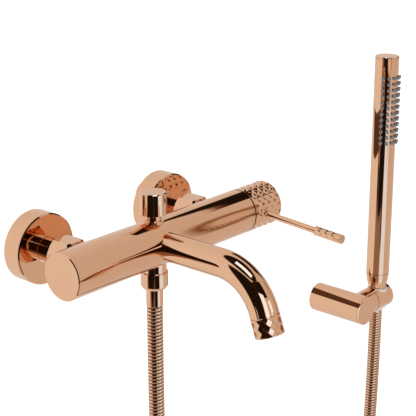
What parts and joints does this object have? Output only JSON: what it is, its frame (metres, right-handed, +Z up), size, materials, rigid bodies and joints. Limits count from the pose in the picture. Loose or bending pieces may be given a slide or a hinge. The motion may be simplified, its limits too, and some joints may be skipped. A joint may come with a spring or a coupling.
{
  "type": "wall mounted bath faucet",
  "caption": "Wall-mounted single-lever bath and shower mixer with a curved spout, pull diverter, spiral hose, stick handset and wall bracket.",
  "frame": {"origin": "on the wall, halfway between the two water inlets and level with the mixer barrel's axis", "axes": "+X along the wall to the right as seen by the user, +Y into the wall, +Z up"},
  "size_m": [0.498, 0.2261, 0.7392],
  "materials": {
    "rose_gold": "polished rose gold plating",
    "knurled_rose_gold": "polished rose gold plating over a diamond knurl",
    "hose_metal": "rose gold plated spiral-wound metal hose",
    "silicone": "matte grey silicone",
    "bonnet_metal": "satin rose gold plating",
    "raw_brass": "machined brass",
    "steel": "stainless steel",
    "ceramic": "lapped white ceramic",
    "plastic": "moulded acetal",
    "rubber": "black rubber"
  },
  "bodies": {
    "root": {"aerator_insert": "plastic", "aerator_ring": "knurled_rose_gold", "aerator_washer": "rubber", "axle_nut": "steel", "bracket_arm": "rose_gold", "bracket_barrel": "rose_gold", "bracket_front_cap": "rose_gold", "bracket_grub_screw": "steel", "bracket_wall_plate": "steel", "cartridge_base": "plastic", "cartridge_bonnet": "bonnet_metal", "cartridge_housing": "plastic", "cartridge_nut": "raw_brass", "cartridge_seals": "rubber", "ceramic_disc_fixed": "ceramic", "diverter_bonnet": "bonnet_metal", "diverter_spring": "steel", "end_cap_o_ring": "rubber", "escutcheon_left": "rose_gold", "escutcheon_right": "rose_gold", "friction_washer": "rubber", "holder_axle": "steel", "hose_ferrule": "rose_gold", "hose_nut": "rose_gold", "hose_run": "hose_metal", "hose_washer_mixer": "rubber", "inlet_strainers": "steel", "inlet_washers": "rubber", "left_end_cap": "rose_gold", "mixer_body": "rose_gold", "outlet_check_valve": "plastic", "outlet_nipple": "rose_gold", "s_union_left": "rose_gold", "s_union_right": "rose_gold", "spout": "rose_gold", "union_nut_left": "rose_gold", "union_nut_right": "rose_gold"},
    "rotor": {"cartridge_rotor": "plastic", "rotor_pin": "steel", "ceramic_disc_moving": "ceramic"},
    "handle": {"cartridge_spindle": "raw_brass", "handle_ring": "knurled_rose_gold", "handle_grub_screw": "steel", "lever_rod": "rose_gold", "lever_grip": "knurled_rose_gold"},
    "diverter": {"diverter_stem": "rose_gold", "diverter_washer": "rubber", "diverter_knob": "rose_gold"},
    "holder": {"shower_holder": "rose_gold", "holder_liner": "plastic"},
    "hose_end": {"hose_cone_nut": "rose_gold", "hose_end_ferrule": "plastic", "hose_washer_handset": "rubber", "hose_end_run": "hose_metal"},
    "handset": {"handset_tube": "rose_gold", "handset_end_cap": "rose_gold", "nozzle_mat": "silicone", "spray_core": "plastic", "handset_inlet": "plastic", "flow_limiter": "plastic"}
  },
  "joints": [
    {"name": "handle_turn", "type": "hinge", "parent": "root", "child": "rotor", "pos_m": [0.086, -0.074, 0], "axis": [1, 0, 0], "range_deg": [-45, 45]},
    {"name": "handle_tilt", "type": "hinge", "parent": "rotor", "child": "handle", "pos_m": [0.086, -0.074, 0], "axis": [0, 0, 1], "range_deg": [0, 10]},
    {"name": "diverter_lift", "type": "slide", "parent": "root", "child": "diverter", "axis": [0, 0, 1], "range_m": [0, 0.008], "stiffness_N_per_m": 150, "springref_m": -0.01, "deforming": ["diverter_spring"]},
    {"name": "holder_tilt", "type": "hinge", "parent": "root", "child": "holder", "pos_m": [0.3735, -0.05, -0.172], "axis": [1, 0, 0], "range_deg": [-30, 30]},
    {"name": "handset_lift", "type": "slide", "parent": "holder", "child": "hose_end", "axis": [0, 0, 1], "range_m": [0, 0.06]},
    {"name": "handset_turn", "type": "hinge", "parent": "hose_end", "child": "handset", "pos_m": [0.3735, -0.05, -0.172], "axis": [0, 0, 1], "range_deg": [-180, 180]}
  ]
}
